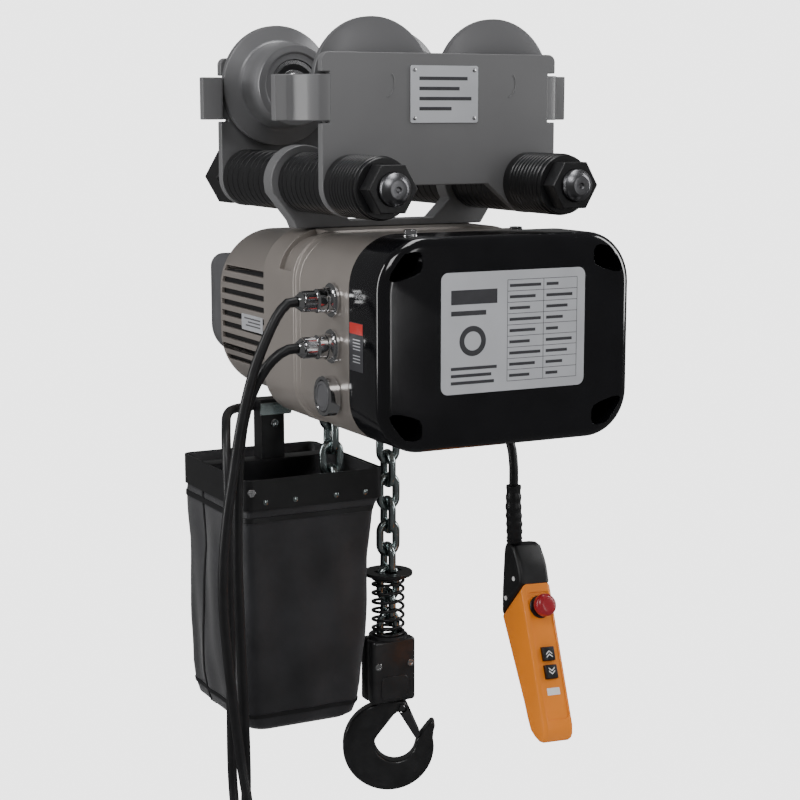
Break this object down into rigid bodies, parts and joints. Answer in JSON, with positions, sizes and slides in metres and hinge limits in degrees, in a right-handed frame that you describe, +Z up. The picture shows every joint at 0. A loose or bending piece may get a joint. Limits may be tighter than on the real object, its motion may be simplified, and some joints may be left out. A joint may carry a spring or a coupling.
{
  "type": "electric chain hoist with push trolley",
  "caption": "Electric chain hoist on a push trolley, with a load chain and swivel hook, a fabric chain bag, and a hanging pendant control on a cable.",
  "frame": {"origin": "on the running surface of the beam's lower flange, midway between the trolley's side plates and its axles", "axes": "+X along the beam, +Y along the motor away from the control cover, +Z up"},
  "size_m": [0.58, 0.635, 1.3775],
  "materials": {
    "trolley_paint": "satin grey paint",
    "bearing_steel": "ground steel",
    "black_oxide": "black oxide and satin black",
    "gloss_black": "gloss black lacquer",
    "cast_body": "smooth silver-beige paint on castings",
    "cap_grey": "moulded grey plastic",
    "chrome": "polished chrome",
    "copper": "laminations and windings",
    "chain_steel": "bright zinc plated",
    "hook_black": "black painted forging",
    "bag_cloth": "black coated woven cloth",
    "pendant_orange": "orange moulded plastic",
    "rubber": "black rubber and soft plastic",
    "button_red": "red plastic"
  },
  "bodies": {
    "hoist": {"side_plate_front": "trolley_paint", "side_plate_rear": "trolley_paint", "hanger_plate": "trolley_paint", "wheel_axle_front_left": "bearing_steel", "wheel_axle_front_right": "bearing_steel", "wheel_axle_rear_left": "bearing_steel", "wheel_axle_rear_right": "bearing_steel", "load_shaft_left": "black_oxide", "load_shaft_right": "black_oxide", "shaft_nut_left": "black_oxide", "shaft_nut_right": "black_oxide", "outer_spacers_left": "black_oxide", "outer_spacers_right": "black_oxide", "inner_spacers_front_left": "black_oxide", "inner_spacers_front_right": "black_oxide", "inner_spacers_rear_left": "black_oxide", "inner_spacers_rear_right": "black_oxide", "chain_guide": "black_oxide", "bag_frame": "black_oxide", "bag_post": "black_oxide", "control_cover": "gloss_black", "control_housing": "cast_body", "chain_housing": "cast_body", "motor_cover": "cast_body", "motor_end_cap": "cap_grey", "port_cap": "cap_grey", "contactor": "cap_grey", "power_plug": "cap_grey", "power_socket": "chrome", "control_socket": "chrome", "power_connector": "chrome", "control_connector": "chrome", "motor_stator": "copper", "stored_chain": "chain_steel", "chain_bag": "bag_cloth", "pendant_body": "pendant_orange", "pendant_head": "rubber", "pendant_boot": "rubber", "control_cable": "rubber", "power_cable": "rubber", "power_hank": "rubber"},
    "wheel_front_left": {"wheel_front_left": "trolley_paint"},
    "wheel_front_right": {"wheel_front_right": "trolley_paint"},
    "wheel_rear_left": {"wheel_rear_left": "trolley_paint"},
    "wheel_rear_right": {"wheel_rear_right": "trolley_paint"},
    "sheave": {"load_sheave": "bearing_steel", "drive_gear": "bearing_steel"},
    "rotor": {"motor_rotor": "bearing_steel", "brake_disc": "black_oxide"},
    "lift": {"load_chain": "chain_steel", "hook_block": "hook_black", "limit_spring": "black_oxide"},
    "slack": {"slack_chain": "chain_steel"},
    "hook": {"hook": "hook_black"},
    "latch": {"hook_latch": "bearing_steel"},
    "limit_stop": {"limit_plate": "black_oxide"},
    "stop_key": {"stop_button": "button_red"},
    "up_key": {"up_button": "rubber"},
    "down_key": {"down_button": "rubber"}
  },
  "joints": [
    {"name": "wheel_front_left_roll", "type": "hinge", "parent": "hoist", "child": "wheel_front_left", "pos_m": [-0.091, -0.12, 0.06], "axis": [0, 1, 0], "continuous": true},
    {"name": "wheel_front_right_roll", "type": "hinge", "parent": "hoist", "child": "wheel_front_right", "pos_m": [0.091, -0.12, 0.06], "axis": [0, 1, 0], "continuous": true},
    {"name": "wheel_rear_left_roll", "type": "hinge", "parent": "hoist", "child": "wheel_rear_left", "pos_m": [-0.091, 0.12, 0.06], "axis": [0, 1, 0], "continuous": true},
    {"name": "wheel_rear_right_roll", "type": "hinge", "parent": "hoist", "child": "wheel_rear_right", "pos_m": [0.091, 0.12, 0.06], "axis": [0, 1, 0], "continuous": true},
    {"name": "hook_lift", "type": "slide", "parent": "hoist", "child": "lift", "axis": [0, 0, 1], "range_m": [-0.07, 0.03]},
    {"name": "slack_run", "type": "slide", "parent": "hoist", "child": "slack", "axis": [0, 0, 1], "range_m": [-0.031, 0.071]},
    {"name": "sheave_turn", "type": "hinge", "parent": "hoist", "child": "sheave", "pos_m": [-0.0448, -0.02, -0.262], "axis": [0, 1, 0], "range_deg": [-40, 92]},
    {"name": "rotor_turn", "type": "hinge", "parent": "hoist", "child": "rotor", "pos_m": [0.04, 0.08, -0.262], "axis": [0, 1, 0], "range_deg": [-455, 195]},
    {"name": "hook_swivel", "type": "hinge", "parent": "lift", "child": "hook", "pos_m": [0, -0.02, -0.826], "axis": [0, 0, 1], "continuous": true},
    {"name": "latch_pivot", "type": "hinge", "parent": "hook", "child": "latch", "pos_m": [0.01813, -0.02845, -0.836], "axis": [0.4226, 0.9063, 0], "range_deg": [0, 42], "stiffness_Nm_per_rad": 0.12, "springref_deg": -22.92},
    {"name": "limit_travel", "type": "slide", "parent": "lift", "child": "limit_stop", "axis": [0, 0, 1], "range_m": [-0.03, 0], "stiffness_N_per_m": 500, "springref_m": 0.01, "deforming": ["limit_spring"]},
    {"name": "stop_press", "type": "slide", "parent": "hoist", "child": "stop_key", "axis": [0, 0.9136, -0.4067], "range_m": [0, 0.0035], "stiffness_N_per_m": 900, "springref_m": -0.001},
    {"name": "up_press", "type": "slide", "parent": "hoist", "child": "up_key", "axis": [0, 0.9136, -0.4067], "range_m": [0, 0.0035], "stiffness_N_per_m": 600, "springref_m": -0.001},
    {"name": "down_press", "type": "slide", "parent": "hoist", "child": "down_key", "axis": [0, 0.9136, -0.4067], "range_m": [0, 0.0035], "stiffness_N_per_m": 600, "springref_m": -0.001}
  ],
  "couplings": [
    {"joint": "slack_run", "follows": "hook_lift", "ratio": -1},
    {"joint": "sheave_turn", "follows": "hook_lift", "rad_per_m": -22.321},
    {"joint": "rotor_turn", "follows": "hook_lift", "rad_per_m": 111.61}
  ]
}
